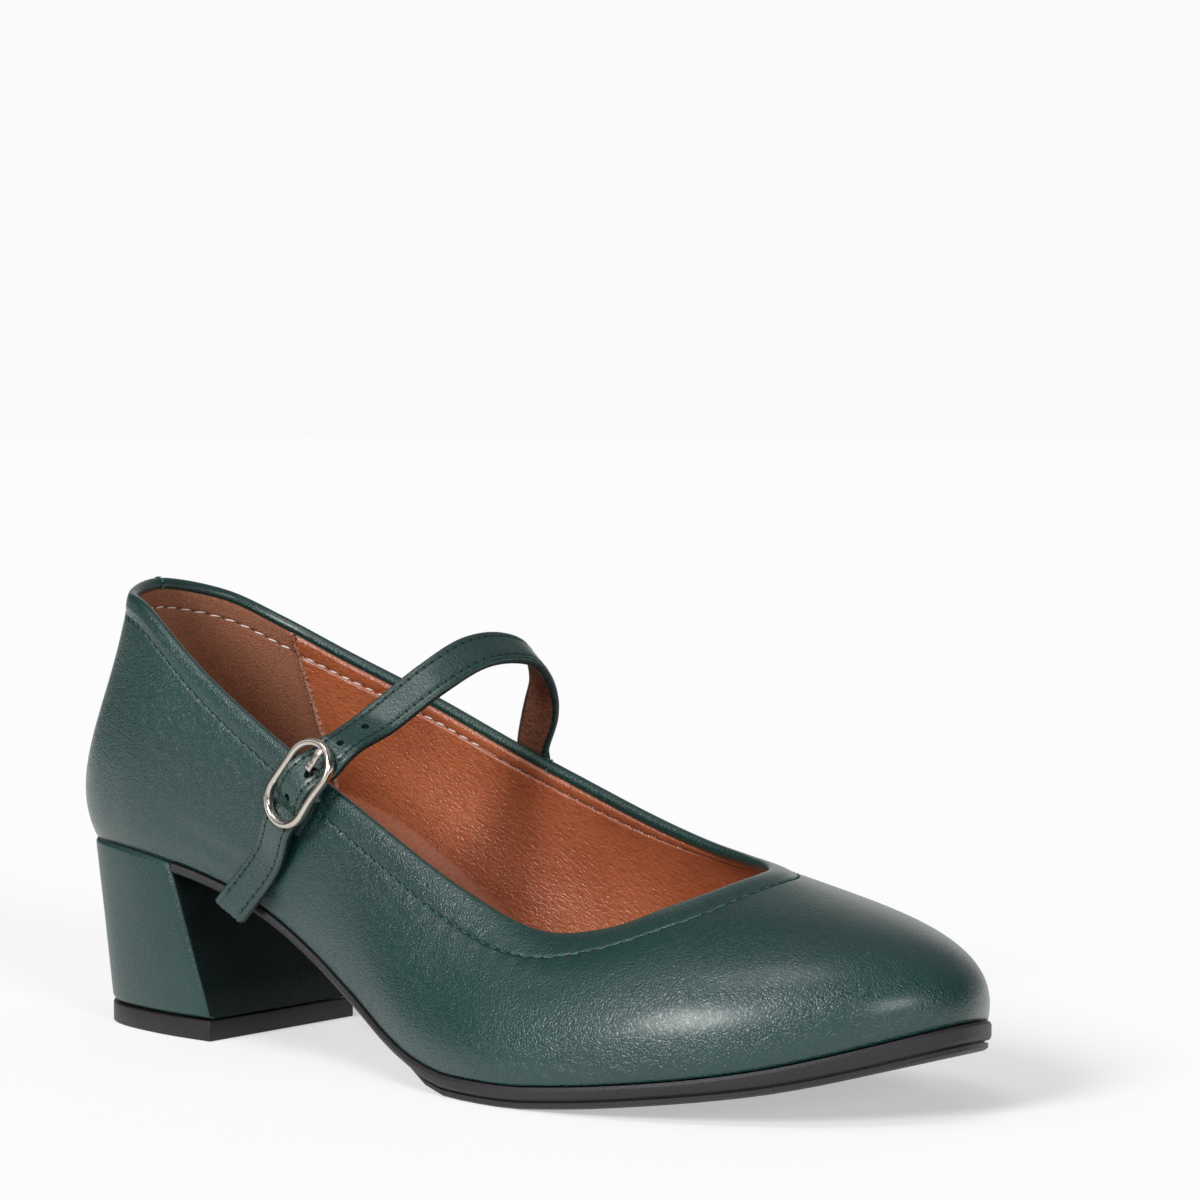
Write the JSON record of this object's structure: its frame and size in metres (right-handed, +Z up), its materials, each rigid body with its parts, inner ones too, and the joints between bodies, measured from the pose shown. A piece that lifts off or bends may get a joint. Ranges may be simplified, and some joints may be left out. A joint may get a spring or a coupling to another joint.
{
  "type": "mary jane pump",
  "caption": "Low-cut leather pump for the right foot with a rounded toe, covered block heel, moulded rubber sole and a buckled instep strap.",
  "frame": {"origin": "on the floor under the middle of the bounding box", "axes": "+X from heel to toe, +Y to the big-toe side, +Z up"},
  "size_m": [0.249, 0.0856, 0.1063],
  "materials": {
    "upper_leather": "fine-grained dark teal-green leather, soft sheen",
    "sock_lining": "smooth tan-brown lining leather",
    "sole_rubber": "dark purplish-grey moulded rubber, satin",
    "heel_cover": "the upper's leather wrapped over a block",
    "lift_rubber": "brown-black rubber, matt",
    "strap_leather": "turned leather strap, glossy edge",
    "buckle_metal": "warm satin nickel plating",
    "prong_metal": "warm satin nickel plating",
    "elastic_web": "dark ribbed elastic"
  },
  "bodies": {
    "root": {"upper": "upper_leather", "insole": "sock_lining", "outsole": "sole_rubber", "heel_block": "heel_cover", "heel_top_lift": "lift_rubber", "strap": "strap_leather", "buckle_frame": "buckle_metal", "buckle_prong": "prong_metal", "elastic_keeper": "elastic_web"}
  },
  "joints": []
}
